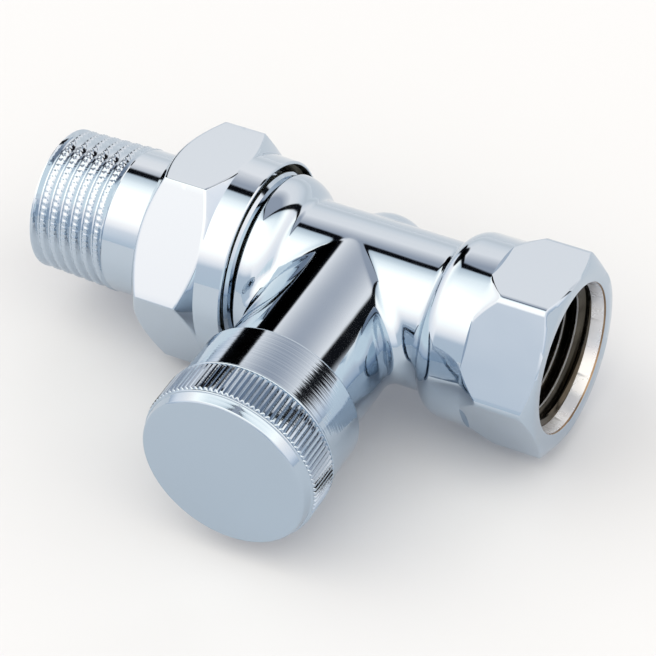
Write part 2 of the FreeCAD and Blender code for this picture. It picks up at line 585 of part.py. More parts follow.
# Disc holder: a cup that swivels on the spindle's nose and carries the washer.
disc_holder = new_body("disc_holder")
turned(disc_holder, "holder_blank", "stem", [
    ("screw_shank_radius + screw_play", "washer_back"),
    ("washer_radius + screw_play", "washer_back"),
    ("washer_radius + screw_play", "washer_back - holder_lip"),
    ("washer_radius + holder_wall", "washer_back - holder_lip"),
    ("washer_radius + holder_wall", "plate_back"),
    ("holder_neck_radius", "plate_back"),
    ("holder_neck_radius", "neck_top"),
    ("spindle_nose_radius + screw_play", "neck_top"),
    ("spindle_nose_radius + screw_play", "plate_back"),
    ("screw_shank_radius + screw_play", "plate_back"),
])
turned(disc_holder, "holder_clip_groove", "stem", [
    ("spindle_nose_radius - cut_margin", "plate_back + clip_rise - clip_wire / 2 - screw_play"),
    ("spindle_nose_radius + clip_wire / 2 + screw_play", "plate_back + clip_rise - clip_wire / 2 - screw_play"),
    ("spindle_nose_radius + clip_wire / 2 + screw_play", "plate_back + clip_rise + clip_wire / 2 + screw_play"),
    ("spindle_nose_radius - cut_margin", "plate_back + clip_rise + clip_wire / 2 + screw_play"),
], cut=True)
ring("disc_clip", "stem", "plate_back + clip_rise", "spindle_nose_radius", "clip_wire", angle=300)

# Seat washer and the slotted screw that holds it in the cup
seat_washer = new_body("seat_washer")
turned(seat_washer, "washer_blank", "stem", [
    ("screw_shank_radius + screw_play", "washer_face"),
    ("washer_radius - screw_play", "washer_face"),
    ("washer_radius", "washer_face + screw_play"),
    ("washer_radius", "washer_back"),
    ("screw_shank_radius + screw_play", "washer_back"),
])
washer_screw = new_body("washer_screw")
turned(washer_screw, "screw_blank", "stem", [
    ("0", "washer_face - screw_head_high"),
    ("screw_head_radius - screw_head_high / 4", "washer_face - screw_head_high"),
    ("screw_head_radius", "washer_face - screw_head_high * 3 / 4"),
    ("screw_head_radius", "washer_face"),
    ("screw_shank_radius", "washer_face"),
    ("screw_shank_radius", "plate_back - screw_play"),
    ("0", "plate_back - screw_play"),
])
slot = flat_sketch(washer_screw, "driver_slot_outline", "XZ_Plane", "washer_face - screw_head_high")
draw(slot, [
    ("-screw_head_radius", "-screw_slot_wide / 2"),
    ("screw_head_radius", "-screw_slot_wide / 2"),
    ("screw_head_radius", "screw_slot_wide / 2"),
    ("-screw_head_radius", "screw_slot_wide / 2"),
])
pocketed(washer_screw, "driver_slot", slot, "screw_slot_deep", along_normal=True)

# Cap: turned in one piece, with a straight-knurled band behind its front.
cap = new_body("cap")
turned(cap, "cap_blank", "stem", [
    ("0", "cap_front"),
    ("cap_front_radius - cap_front_bevel", "cap_front"),
    ("cap_front_radius", "cap_front - cap_front_bevel"),
    ("cap_front_radius", "knurl_start"),
    ("knurl_radius - knurl_bevel", "knurl_start"),
    ("knurl_radius", "knurl_start - knurl_bevel"),
    ("knurl_radius", "knurl_end + knurl_bevel"),
    ("knurl_radius - knurl_bevel", "knurl_end"),
    ("cap_skirt_radius", "knurl_end"),
    ("cap_skirt_radius", "cap_back + cap_skirt_rounding", "cap_skirt_rounding", "right"),
    ("cap_skirt_radius - cap_skirt_rounding", "cap_back"),
    ("branch_radius + skirt_play", "cap_back"),
    ("branch_radius + skirt_play", "branch_reach + end_play"),
    ("boss_thread_radius + screw_play", "branch_reach + end_play"),
    ("boss_thread_radius + screw_play", "cap_inner"),
    ("0", "cap_inner"),
])
groove = flat_sketch(cap, "knurl_groove_outline", "XZ_Plane", "knurl_start")
draw(groove, [
    ("knurl_radius - knurl_depth", "0"),
    ("knurl_radius + knurl_depth / 2", "-1.5 * knurl_groove_share * pi * knurl_radius / knurl_count"),
    ("knurl_radius + knurl_depth / 2", "1.5 * knurl_groove_share * pi * knurl_radius / knurl_count"),
])
first_groove = pocketed(cap, "knurl_groove", groove, "knurl_long")
knurl = cap.newObject("PartDesign::PolarPattern", "knurl")
knurl.Originals = [first_groove]
knurl.Axis = (groove, ["N_Axis"])
knurl.Angle = 360
knurl.setExpression("Occurrences", bound("knurl_count"))
cap.Tip = knurl
doc.recompute()

# Cap seal: a flat ring between the cap's front wall and the bonnet.
cap_seal = new_body("cap_seal")
turned(cap_seal, "seal_blank", "stem", [
    ("cap_seal_inner", "cap_inner"),
    ("cap_seal_outer", "cap_inner"),
    ("cap_seal_outer", "cap_inner - cap_seal_thick"),
    ("cap_seal_inner", "cap_inner - cap_seal_thick"),
])

# Union nut: a hexagon with a round collar; its flange pulls the tail's collar to the body.
union_nut = new_body("union_nut")
turned(union_nut, "nut_collar", "tail", [
    ("nut_rim", "0"),
    ("nut_rim", "nut_collar_rim_radius - nut_rim_bevel"),
    ("nut_rim + nut_rim_bevel", "nut_collar_rim_radius"),
    ("nut_hex_end", "nut_collar_radius"),
    ("nut_face", "nut_collar_radius"),
    ("nut_face", "0"),
])
nut_hexagon = flat_sketch(union_nut, "nut_hexagon_outline", "YZ_Plane", "-port_reach - nut_face")
draw(nut_hexagon, hexagon("nut_hex_flats", "nut_hex_turn"))
padded(union_nut, "nut_hexagon", nut_hexagon, "nut_hex_long")
turned(union_nut, "nut_face_bevel_cut", "tail", [
    ("nut_face", "nut_hex_flats / 2 - nut_face_bevel / 8"),
    ("nut_face", "nut_hex_flats / sqrt(3) + cut_margin"),
    ("nut_face - nut_face_bevel", "nut_hex_flats / sqrt(3) + cut_margin"),
    ("nut_face - nut_face_bevel", "nut_hex_flats / sqrt(3)"),
], cut=True)
turned(union_nut, "nut_inner_bevel_cut", "tail", [
    ("nut_hex_end", "nut_collar_radius"),
    ("nut_hex_end + nut_inner_bevel", "nut_hex_flats / sqrt(3)"),
    ("nut_hex_end + nut_inner_bevel", "nut_hex_flats / sqrt(3) + cut_margin"),
    ("nut_hex_end", "nut_hex_flats / sqrt(3) + cut_margin"),
], cut=True)
turned(union_nut, "nut_bore", "tail", [
    ("nut_rim", "0"),
    ("nut_rim", "union_thread_radius + screw_play + nut_rim_bevel"),
    ("nut_rim + nut_rim_bevel", "union_thread_radius + screw_play"),
    ("nut_inner_face", "union_thread_radius + screw_play"),
    ("nut_inner_face", "tail_plain_radius + screw_play"),
    ("nut_face", "tail_plain_radius + screw_play"),
    ("nut_face", "0"),
], cut=True)

# Tailpiece: threaded end, plain stretch, collar behind the nut's flange and cone into the seat.
tailpiece = new_body("tailpiece")
turned(tailpiece, "tail_blank", "tail", [
    ("union_end - union_seat_long", "0"),
    ("union_end - union_seat_long", "union_seat_radius - cone_slope * union_seat_long - cone_play"),
    ("union_end", "union_seat_radius - cone_play"),
    ("tail_collar_end", "union_seat_radius - cone_play"),
    ("tail_collar_end", "tail_collar_radius"),
    ("tail_collar_start", "tail_collar_radius"),
    ("tail_collar_start", "tail_plain_radius"),
    ("tail_thread_end", "tail_plain_radius"),
    ("tail_thread_end + tail_runout_long / 2", "tail_thread_radius - tail_runout_deep"),
    ("tail_thread_end + tail_runout_long", "tail_thread_radius"),
    ("tail_end - tail_end_bevel", "tail_thread_radius"),
    ("tail_end", "tail_thread_radius - tail_end_bevel"),
    ("tail_end", "0"),
])
turned(tailpiece, "tail_ring_groove", "tail", [
    ("tail_ring_place - tail_ring_wire / 2 - groove_play", "tail_ring_radius - tail_ring_wire / 2 - seal_play"),
    ("tail_ring_place - tail_ring_wire / 2 - groove_play", "union_seat_radius"),
    ("tail_ring_place + tail_ring_wire / 2 + groove_play", "union_seat_radius"),
    ("tail_ring_place + tail_ring_wire / 2 + groove_play", "tail_ring_radius - tail_ring_wire / 2 - seal_play"),
], cut=True)
turned(tailpiece, "tail_bore", "tail", [
    ("union_end - union_seat_long", "0"),
    ("union_end - union_seat_long", "tail_bore_radius"),
    ("tail_end", "tail_bore_radius"),
    ("tail_end", "0"),
], cut=True)
key = flat_sketch(tailpiece, "tail_key_outline", "YZ_Plane", "-port_reach - tail_end")
draw(key, hexagon("tail_key_flats", "0"))
pocketed(tailpiece, "tail_key", key, "tail_key_deep", along_normal=True)
ring("tail_o_ring", "tail", "tail_ring_place", "tail_ring_radius", "tail_ring_wire")
doc.recompute()

# Every object has to be sound, and every cut has to take something away.
for item in doc.Objects:
    if any(state in ("Invalid", "Error") for state in item.State):
        raise SystemExit(f"{item.Name} did not recompute: {item.State} {item.getStatusString()}")
    if item.TypeId in ("PartDesign::Groove", "PartDesign::Pocket"):
        if item.Shape.Volume > item.BaseFeature.Shape.Volume - 0.001:
            raise SystemExit(f"{item.Name} cuts nothing")
pieces = [item for item in doc.Objects if item.TypeId == "PartDesign::Body"]
for piece in pieces:
    if piece.Shape.isNull() or not piece.Shape.isValid() or len(piece.Shape.Solids) != 1:
        raise SystemExit(f"{piece.Label} is not one sound solid")
os.makedirs("parts", exist_ok=True)
for piece in pieces:
    piece.Shape.exportStep(f"parts/{piece.Label}.step")
print("pieces written:", len(pieces))
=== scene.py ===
import math

import bmesh
import bpy
from mathutils import Matrix, Vector


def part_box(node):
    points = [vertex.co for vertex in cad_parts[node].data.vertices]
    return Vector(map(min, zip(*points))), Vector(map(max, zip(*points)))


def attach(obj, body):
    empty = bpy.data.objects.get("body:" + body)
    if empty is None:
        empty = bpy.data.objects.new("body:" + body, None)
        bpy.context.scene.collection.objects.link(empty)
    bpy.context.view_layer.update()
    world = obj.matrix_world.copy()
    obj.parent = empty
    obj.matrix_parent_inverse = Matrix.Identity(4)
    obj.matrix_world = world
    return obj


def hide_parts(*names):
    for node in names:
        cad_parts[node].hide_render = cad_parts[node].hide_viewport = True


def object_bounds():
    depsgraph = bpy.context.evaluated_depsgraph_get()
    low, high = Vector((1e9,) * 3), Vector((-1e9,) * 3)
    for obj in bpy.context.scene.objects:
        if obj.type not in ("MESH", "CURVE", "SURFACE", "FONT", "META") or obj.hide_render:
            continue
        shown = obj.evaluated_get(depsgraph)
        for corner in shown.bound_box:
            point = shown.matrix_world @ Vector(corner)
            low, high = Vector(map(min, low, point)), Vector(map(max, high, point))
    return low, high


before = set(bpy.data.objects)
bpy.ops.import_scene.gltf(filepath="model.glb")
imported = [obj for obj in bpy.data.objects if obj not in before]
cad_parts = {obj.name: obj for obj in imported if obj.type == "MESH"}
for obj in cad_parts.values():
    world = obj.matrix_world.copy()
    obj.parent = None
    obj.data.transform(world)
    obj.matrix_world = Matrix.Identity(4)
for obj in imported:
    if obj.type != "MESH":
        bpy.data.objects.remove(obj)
solids_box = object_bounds()

# Camera: a long lens that looks down on the valve from the front right, as in the photograph.
# Lengths in this script are millimetres, and each finished mesh is scaled to metres.
MM = 0.001
cap_low, cap_high = (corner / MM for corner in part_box("cap"))
stem_x = (cap_low.x + cap_high.x) / 2
camera_azimuth = math.radians(30.15)
camera_height = math.radians(42.42)
camera_roll = math.radians(-3.453)
camera_distance = 468.4
camera_aside = -4.57
camera_up = -5.21
camera_lens = 183.33
back = Vector((math.sin(camera_azimuth) * math.cos(camera_height),
               -math.cos(camera_azimuth) * math.cos(camera_height),
               math.sin(camera_height)))
level = Vector((math.cos(camera_azimuth), math.sin(camera_azimuth), 0))
right = level * math.cos(camera_roll) + back.cross(level) * math.sin(camera_roll)
upward = back.cross(right)
camera = bpy.data.objects.new("camera", bpy.data.cameras.new("camera"))
bpy.context.scene.collection.objects.link(camera)
camera_place = (Vector((stem_x, 0, 0)) + back * camera_distance + right * camera_aside
                + upward * camera_up)
camera.matrix_world = Matrix.LocRotScale(
    camera_place * MM, Matrix((right, upward, back)).transposed().to_quaternion(), None)
camera.data.lens = camera_lens
camera.data.sensor_width = 36
camera.data.clip_start = 0.01
bpy.context.scene.camera = camera
bpy.context.scene.view_settings.view_transform = "Standard"

# Studio: a plain pale floor under the valve, in a light tent. The tent's back wall is a soft
# grey panel between two dark gaps, the left one wider low down, and a large white diffuser
# hangs over the front and top. Chrome shows the eye little but this tent.
def linear(code):
    """An sRGB hex colour as linear RGBA."""
    parts = [int(code[place:place + 2], 16) / 255 for place in (1, 3, 5)]
    return [part / 12.92 if part <= 0.04045 else ((part + 0.055) / 1.055) ** 2.4
            for part in parts] + [1.0]


def add_node(tree, kind, links=(), **settings):
    """A node with its settings. Links pairs an input with the output that feeds it, in_ names an
    input's value by number or name, and stops are a ramp's places and colours."""
    node = tree.nodes.new(kind)
    for name, setting in settings.items():
        if name == "stops":
            elements = node.color_ramp.elements
            while len(elements) < len(setting):
                elements.new(0.5)
            for element, (position, code) in zip(elements, setting):
                element.position = position
                element.color = linear(code)
        elif name.startswith("in_"):
            key = int(name[3:]) if name[3:].isdigit() else name[3:].replace("_", " ")
            node.inputs[key].default_value = setting
        else:
            setattr(node, name, setting)
    for socket, source in links:
        tree.links.new(source, node.inputs[socket])
    return node


def new_material(name):
    """A material with an empty surface shader."""
    material = bpy.data.materials.new(name)
    material.use_nodes = True
    tree = material.node_tree
    tree.nodes.clear()
    output = add_node(tree, "ShaderNodeOutputMaterial")
    shader = add_node(tree, "ShaderNodeBsdfPrincipled")
    tree.links.new(shader.outputs[0], output.inputs[0])
    return material, tree, shader


studio = bpy.data.worlds.new("studio")
bpy.context.scene.world = studio
studio.use_nodes = True
tent = studio.node_tree
tent.nodes.clear()
direction = add_node(tent, "ShaderNodeTexCoord")
parts = add_node(tent, "ShaderNodeSeparateXYZ", [(0, direction.outputs["Generated"])])
sideways = add_node(tent, "ShaderNodeMath", [(0, parts.outputs["X"])], operation="ABSOLUTE")
turn = add_node(tent, "ShaderNodeMath", [(0, sideways.outputs[0]), (1, parts.outputs["Y"])],
                operation="ARCTAN2")
from_back = add_node(tent, "ShaderNodeMath", [(0, turn.outputs[0])], operation="DIVIDE",
                     in_1=math.pi)
height = add_node(tent, "ShaderNodeMapRange", [(0, parts.outputs["Z"])], in_1=-1.0, in_2=1.0)
back_wall = add_node(tent, "ShaderNodeValToRGB", [(0, height.outputs[0])], stops=(
    (0.413, "#8E9093"), (0.500, "#BEBBB8"), (0.570, "#B3B1AF"), (0.629, "#C1BDBA"),
    (0.711, "#CFC7C1"), (0.854, "#D6CCC5")))
diffuser = add_node(tent, "ShaderNodeValToRGB", [(0, height.outputs[0])], stops=(
    (0.329, "#747B89"), (0.413, "#7F8791"), (0.483, "#8F969D"), (0.535, "#B1B2B6"),
    (0.587, "#CEC9C7"), (0.671, "#DCD3CD"), (0.735, "#EADDD3"), (0.821, "#FFF5E6")))
low_front = add_node(tent, "ShaderNodeValToRGB", [(0, height.outputs[0])], stops=(
    (0.329, "#878E98"), (0.500, "#A3A8AC"), (0.663, "#A7AAAE"), (0.703, "#D1CAC6"),
    (0.750, "#EADDD3"), (0.821, "#FFF5E6")))
is_front = add_node(tent, "ShaderNodeValToRGB", [(0, from_back.outputs[0])], stops=(
    (0.83, "#000000"), (0.87, "#FFFFFF")))
front = add_node(tent, "ShaderNodeMix", [
    (0, is_front.outputs[0]), (6, diffuser.outputs[0]), (7, low_front.outputs[0])],
    data_type="RGBA")
is_back = add_node(tent, "ShaderNodeValToRGB", [(0, from_back.outputs[0])], stops=(
    (0.222, "#FFFFFF"), (0.232, "#000000")))
around = add_node(tent, "ShaderNodeMix", [
    (0, is_back.outputs[0]), (6, front.outputs[2]), (7, back_wall.outputs[0])], data_type="RGBA")
dark_gap = "#101216"
gap = add_node(tent, "ShaderNodeValToRGB", [(0, from_back.outputs[0])], stops=(
    (0.215, "#FFFFFF"), (0.226, dark_gap), (0.264, dark_gap), (0.278, "#F4F6F8"),
    (0.30, "#FFFFFF")))
high_fade = add_node(tent, "ShaderNodeValToRGB", [(0, from_back.outputs[0])], stops=(
    (0.25, "#A5AEBB"), (0.31, "#B9C2CD"), (0.39, "#DBE1E8"), (0.48, "#EEF1F5"),
    (0.57, "#FFFFFF")))
is_high = add_node(tent, "ShaderNodeValToRGB", [(0, height.outputs[0])], stops=(
    (0.80, "#000000"), (0.90, "#FFFFFF")))
fade = add_node(tent, "ShaderNodeMix", [
    (0, is_high.outputs[0]), (7, high_fade.outputs[0])], data_type="RGBA", in_6=linear("#FFFFFF"))
faded = add_node(tent, "ShaderNodeMix", [
    (6, around.outputs[2]), (7, fade.outputs[2])], data_type="RGBA", blend_type="MULTIPLY",
    in_0=1.0)
lit = add_node(tent, "ShaderNodeMix", [
    (6, faded.outputs[2]), (7, gap.outputs[0])], data_type="RGBA", blend_type="MULTIPLY", in_0=1.0)
toward_left = add_node(tent, "ShaderNodeVectorMath", [(0, direction.outputs["Generated"])],
                       operation="DOT_PRODUCT", in_1=(-0.66, 0.6, 0.45))
left_gap = add_node(tent, "ShaderNodeValToRGB", [(0, toward_left.outputs["Value"])], stops=(
    (0.972, "#FFFFFF"), (0.979, dark_gap)))
dimmed = add_node(tent, "ShaderNodeMix", [
    (6, lit.outputs[2]), (7, left_gap.outputs[0])], data_type="RGBA", blend_type="MULTIPLY",
    in_0=1.0)
tent_brightness = 2.2
light = add_node(tent, "ShaderNodeBackground", [(0, dimmed.outputs[2])], in_1=tent_brightness)
add_node(tent, "ShaderNodeOutputWorld", [(0, light.outputs[0])])

floor_level = solids_box[0][2] / MM
floor_reach = 2500
floor_mesh = bmesh.new()
bmesh.ops.create_grid(floor_mesh, x_segments=1, y_segments=1, size=floor_reach,
                      matrix=Matrix.Translation((stem_x, 0, floor_level)))
bmesh.ops.scale(floor_mesh, vec=(MM, MM, MM), verts=floor_mesh.verts)
floor_data = bpy.data.meshes.new("floor")
floor_mesh.to_mesh(floor_data)
floor_mesh.free()
floor = bpy.data.objects.new("floor", floor_data)
bpy.context.scene.collection.objects.link(floor)
# Matt white board: no gloss, and a trace of blue that evens out the tent's warm light.
floor_paint, _, shader = new_material("matt_white_floor")
shader.inputs["Base Color"].default_value = linear("#D2D8E0")
shader.inputs["Roughness"].default_value = 0.9
shader.inputs["Specular IOR Level"].default_value = 0.1
floor_data.materials.append(floor_paint)

# Valve body: one hot-forged brass tee, turned, drilled and threaded, then polished and chromium
# plated all over. The tube swells to a dome at the union end and to a collar at the port.
# Places along the pipe and the spindle are measured from the point where their axes cross.
PITCH = 25.4 / 14
body_steps = 240
merge_reach = 0.0005
tube_radius = 10.85
dome_edge, dome_foot, dome_swell = -13.2, 8.55, 4.8
collar_edge, collar_foot, collar_swell = 17.4, 10.05, 3.4
hexagon_start, port_face = 21.8, 32.75
port_root, thread_crest, lead_end, edge_start = 10.48, 9.55, 30.7, 32.45
branch_radius, branch_fillet = 10.76, 2.6
boss_middle, boss_radius, boss_fillet = 7.06, 6.86, 1.5


def lathe(piece, corners, about, steps):
    """Spin an outline about the pipe or the spindle. A corner is its place along the axis, its
    radius and, where it is rounded, how far the rounding reaches."""
    wire = bmesh.new()
    points = []
    for corner in corners:
        if about == "pipe":
            points.append(wire.verts.new((stem_x + corner[0], corner[1], 0)))
        else:
            points.append(wire.verts.new((stem_x + corner[1], -corner[0], 0)))
    for first, second in zip(points, points[1:]):
        wire.edges.new((first, second))
    for point, corner in zip(points, corners):
        if len(corner) > 2:
            bmesh.ops.bevel(wire, geom=[point], offset=corner[2], offset_type="OFFSET",
                            segments=3, profile=0.5, affect="VERTICES", material=-1)
    axis = (1, 0, 0) if about == "pipe" else (0, -1, 0)
    bmesh.ops.spin(wire, geom=wire.verts[:] + wire.edges[:], cent=(stem_x, 0, 0), axis=axis,
                   angle=math.tau, steps=steps, use_merge=True)
    bmesh.ops.remove_doubles(wire, verts=wire.verts, dist=merge_reach)
    join(piece, wire)


def join(piece, other):
    """Move a finished mesh into a piece's mesh."""
    carrier = bpy.data.meshes.new("carrier")
    other.to_mesh(carrier)
    other.free()
    piece.from_mesh(carrier)
    bpy.data.meshes.remove(carrier)


def thread(piece, about, start, stop, crests, depth, steps, runout=1.2):
    """A helical pipe thread from start to stop. It is cut inwards from the crest radii at both
    ends, or outwards where its depth is negative, and fades out towards both ends."""
    wire = bmesh.new()
    waves = (1.0, 1.0, 0.7, 0.25, 0.0, 0.0, 0.25, 0.7)
    turns = math.ceil((stop - start) / PITCH) + 2
    points = []
    for step in range(turns * len(waves) + 1):
        along = start - PITCH + step * PITCH / len(waves)
        radius = crests[0] - depth * waves[step % len(waves)]
        if about == "pipe":
            points.append(wire.verts.new((stem_x + along, radius, 0)))
        else:
            points.append(wire.verts.new((stem_x + radius, -along, 0)))
    for first, second in zip(points, points[1:]):
        wire.edges.new((first, second))
    axis = Vector((1, 0, 0)) if about == "pipe" else Vector((0, -1, 0))
    bmesh.ops.spin(wire, geom=wire.verts[:] + wire.edges[:], cent=(stem_x, 0, 0), axis=axis,
                   dvec=axis * PITCH / steps, angle=math.tau, steps=steps, use_merge=False)
    bmesh.ops.remove_doubles(wire, verts=wire.verts, dist=merge_reach)
    centre = Vector((stem_x, 0, 0))
    for vert in wire.verts:
        along = (vert.co - centre).dot(axis)
        out = vert.co - centre - axis * along
        wave = (crests[0] - out.length) / depth
        along = min(max(along, start), stop)
        reach = min(along - start, stop - along) / runout
        fade = min(max(reach, 0), 1)
        fade = fade * fade * (3 - 2 * fade)
        crest = crests[0] + (crests[1] - crests[0]) * (along - start) / (stop - start)
        vert.co = centre + axis * along + out.normalized() * (crest - depth * wave * fade)
    bmesh.ops.remove_doubles(wire, verts=wire.verts, dist=merge_reach)
    join(piece, wire)


def soft_top(first, second, width):
    """The larger of two numbers, rounded where they cross."""
    near = max(width - abs(first - second), 0) / width
    return max(first, second) + near * near * width / 4


def skin_radius(along):
    """Radius of the forging round the pipe, between the dome's edge and the port hexagon."""
    dome = dome_foot + math.sqrt(max(dome_swell ** 2 - (along - dome_edge) ** 2, 0))
    collar = collar_foot + math.sqrt(max(collar_swell ** 2 - min(along - collar_edge, 0) ** 2, 0))
    return soft_top(soft_top(tube_radius, dome, 0.6), collar, 0.5)


def hexagon_radius(angle, flats, corner_angle, rounding):
    """Radius of a hexagon with rounded corners, seen at an angle round its axis."""
    off = (angle - corner_angle + math.pi / 6) % (math.pi / 3) - math.pi / 6
    centre = flats / math.sqrt(3) - rounding / math.cos(math.pi / 6)
    if abs(off) > math.atan2(rounding / 2, centre + rounding * math.cos(math.pi / 6)):
        return flats / 2 / math.cos(math.pi / 6 - abs(off))
    return centre * math.cos(off) + math.sqrt(rounding ** 2 - (centre * math.sin(off)) ** 2)


def shape_hexagon(piece, low, high, flats, corner_angle, low_bevel, high_bevel, steps,
                  rounding=0.25):
    """Pull a spun barrel between two places along the pipe to a hexagon. A bevel is its radius
    at the end and how much it widens per millimetre; rows near it follow its wavy edge, and the
    three columns nearest a corner move to its rounding."""
    corner_reach = math.atan2(rounding / 2, flats / math.sqrt(3) - rounding * 0.29)
    for vert in piece.verts:
        along = vert.co.x - stem_x
        radius = math.hypot(vert.co.y, vert.co.z)
        if not (low - 0.001 < along < high + 0.001) or radius < flats / 2 - 1.2:
            continue
        angle = math.atan2(vert.co.z, -vert.co.y)
        row = round((along - low) / (high - low) * 10)
        off = (angle - corner_angle + math.pi / 6) % (math.pi / 3) - math.pi / 6
        column = round(off / math.tau * steps)
        if abs(column) < 2 and 0 < row < 10:
            angle += column * corner_reach - off
        side = hexagon_radius(angle, flats, corner_angle, rounding)
        low_edge = low + max(side - low_bevel[0], 0) / low_bevel[1]
        high_edge = high - max(side - high_bevel[0], 0) / high_bevel[1]
        place = (low, low_edge - 0.12, low_edge + 0.12, low_edge + 0.4, low + (high - low) * 0.45,
                 low + (high - low) * 0.5, low + (high - low) * 0.55, high_edge - 0.4,
                 high_edge - 0.12, high_edge + 0.12, high)[row]
        place = min(max(place, low), high)
        reach = min(side, low_bevel[0] + (place - low) * low_bevel[1],
                    high_bevel[0] + (high - place) * high_bevel[1]) if row else low_bevel[0]
        vert.co = (stem_x + place, -reach * math.cos(angle), reach * math.sin(angle))


def finish_mesh(name, piece, body, replaced, materials):
    """Close a mesh, scale it to metres, smooth it between its sharp edges, and put it in the place
    of the solid that it dresses."""
    sharp = math.radians(38)
    bmesh.ops.remove_doubles(piece, verts=piece.verts, dist=0.001)
    bmesh.ops.recalc_face_normals(piece, faces=piece.faces)
    bmesh.ops.scale(piece, vec=(MM, MM, MM), verts=piece.verts)
    for face in piece.faces:
        face.smooth = True
    for edge in piece.edges:
        edge.smooth = edge.calc_face_angle(0) < sharp
    data = bpy.data.meshes.new(name)
    piece.to_mesh(data)
    piece.free()
    for material in materials:
        data.materials.append(material)
    item = bpy.data.objects.new(name, data)
    bpy.context.scene.collection.objects.link(item)
    weighted = item.modifiers.new("even_normals", "WEIGHTED_NORMAL")
    weighted.keep_sharp = True
    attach(item, body)
    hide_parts(replaced)


def chromium_plate(name, code, gloss, waviness, depth, marks=None):
    """Chromium plate over brass: a cool mirror whose metal still shows its polishing waves. The
    waves are as wide as waviness and as high as depth, in millimetres. Marks add a tool's fine
    rings along an axis, as (letter, spacing, height), both in millimetres."""
    material, tree, shader = new_material(name)
    shader.inputs["Base Color"].default_value = linear(code)
    shader.inputs["Metallic"].default_value = 1.0
    place = add_node(tree, "ShaderNodeTexCoord")
    waves = add_node(tree, "ShaderNodeTexNoise", [("Vector", place.outputs["Object"])],
                     in_Scale=1000 / waviness, in_Detail=1.0, in_Roughness=0.4)
    hazes = add_node(tree, "ShaderNodeTexNoise", [("Vector", place.outputs["Object"])],
                     in_Scale=1000 / 2.5, in_Detail=3.0)
    haze = add_node(tree, "ShaderNodeMapRange", [(0, hazes.outputs[0])],
                    in_1=0.3, in_2=0.7, in_3=gloss * 0.75, in_4=gloss * 1.3)
    bump = add_node(tree, "ShaderNodeBump", [("Height", waves.outputs[0])],
                    in_Strength=1.0, in_Distance=depth * MM)
    if marks:
        along = add_node(tree, "ShaderNodeSeparateXYZ", [(0, place.outputs["Object"])])
        lines = add_node(tree, "ShaderNodeTexNoise", [("W", along.outputs[marks[0]])],
                         noise_dimensions="1D", in_Scale=1000 / marks[1], in_Detail=2.0)
        bump = add_node(tree, "ShaderNodeBump",
                        [("Height", lines.outputs[0]), ("Normal", bump.outputs[0])],
                        in_Strength=1.0, in_Distance=marks[2] * MM)
    tree.links.new(haze.outputs[0], shader.inputs["Roughness"])
    tree.links.new(bump.outputs[0], shader.inputs["Normal"])
    return material


def raw_brass(name, code, gloss, grain, metal=1.0):
    """Machined brass, bare or with a thin plate, in two tones of stain. The grain is the spacing
    of its tool marks, which are about 0.1 mm on the real piece and too fine to show."""
    material, tree, shader = new_material(name)
    shader.inputs["Metallic"].default_value = metal
    place = add_node(tree, "ShaderNodeTexCoord")
    stain = add_node(tree, "ShaderNodeTexNoise", [("Vector", place.outputs["Object"])],
                     in_Scale=1000 / 3.0, in_Detail=4.0)
    tint = add_node(tree, "ShaderNodeValToRGB", [(0, stain.outputs[0])],
                    stops=((0.3, code[1]), (0.7, code[0])))
    turned = add_node(tree, "ShaderNodeTexNoise", [("Vector", place.outputs["Object"])],
                      in_Scale=1000 / grain, in_Detail=2.0)
    bump = add_node(tree, "ShaderNodeBump", [("Height", turned.outputs[0])],
                    in_Strength=0.6, in_Distance=0.004 * MM)
    rough = add_node(tree, "ShaderNodeMapRange", [(0, stain.outputs[0])],
                     in_1=0.3, in_2=0.7, in_3=gloss * 0.8, in_4=gloss * 1.25)
    tree.links.new(tint.outputs[0], shader.inputs["Base Color"])
    tree.links.new(rough.outputs[0], shader.inputs["Roughness"])
    tree.links.new(bump.outputs[0], shader.inputs["Normal"])
    return material


# Bright plate on a belt-polished forging: a blue-grey mirror that bends lines a little, because
# the polishing left waves about 7 mm wide.
body_plate = chromium_plate("polished_chromium_plate_on_forging", "#B4C2D0", 0.05, 7.0, 0.02)
# Bare brass deep in the port where no plate reaches, painted nearly black and faintly brown:
# painted shade of the deep recess and the thread's grooves.
port_brass_with_painted_shade = raw_brass("brass_with_painted_shade_in_the_port", ("#55514A", "#3A3731"), 0.2, 0.3)
# Plate thrown thinly into the mouth, over tool marks: pale and satin instead of a mirror. On the
# thread's crests the same pale plate is a painted highlight.
satin_plate_and_crest_highlight = raw_brass("satin_plate_and_painted_crest_highlight_in_the_port", ("#E6EAF0", "#D8DDE4"), 0.26, 0.3, 0.55)
# The chamfer cut after plating: a thin brown line round the mouth.
edge_brass = raw_brass("bare_brass_edge_of_the_port", ("#98826A", "#7A6650"), 0.3, 0.3)

body = bmesh.new()
rows = [(dome_edge + step * 0.35, skin_radius(dome_edge + step * 0.35)) for step in range(1, 86)]
lathe(body, [
    (-10.0, 0), (-11.75, 7.0, 0.2), (-17.5, 7.0), (-17.5, 8.2), (-22.3, 11.0, 0.15),
    (-22.3, 12.7), (-21.8, 13.22)], "pipe", body_steps)
thread(body, "pipe", -21.8, -14.7, (13.22, 13.22), 1.1, body_steps)
lathe(body, [
    (-14.7, 13.22), (-14.3, 12.8), (-14.3, 12.4), (dome_edge, 12.4, 0.2), (dome_edge, 13.35, 0.2),
    *rows, (collar_edge, 13.45), (hexagon_start, 13.45)], "pipe", body_steps)
barrel = bmesh.new()
lathe(barrel, [(hexagon_start + 1.095 * row, 14.9) for row in range(11)], "pipe", body_steps)
shape_hexagon(barrel, hexagon_start, port_face, 26.0, math.radians(64.2), (13.45, 0.459),
              (12.95, 1.79), body_steps, rounding=0.9)
join(body, barrel)
lathe(body, [(port_face, 12.95), (port_face, 12.0), (port_face, 10.93, 0.1), (edge_start, 10.84),
             (lead_end, port_root)], "pipe", body_steps)
thread(body, "pipe", 18.05, lead_end, (port_root, port_root), 1.0, body_steps, runout=0.9)
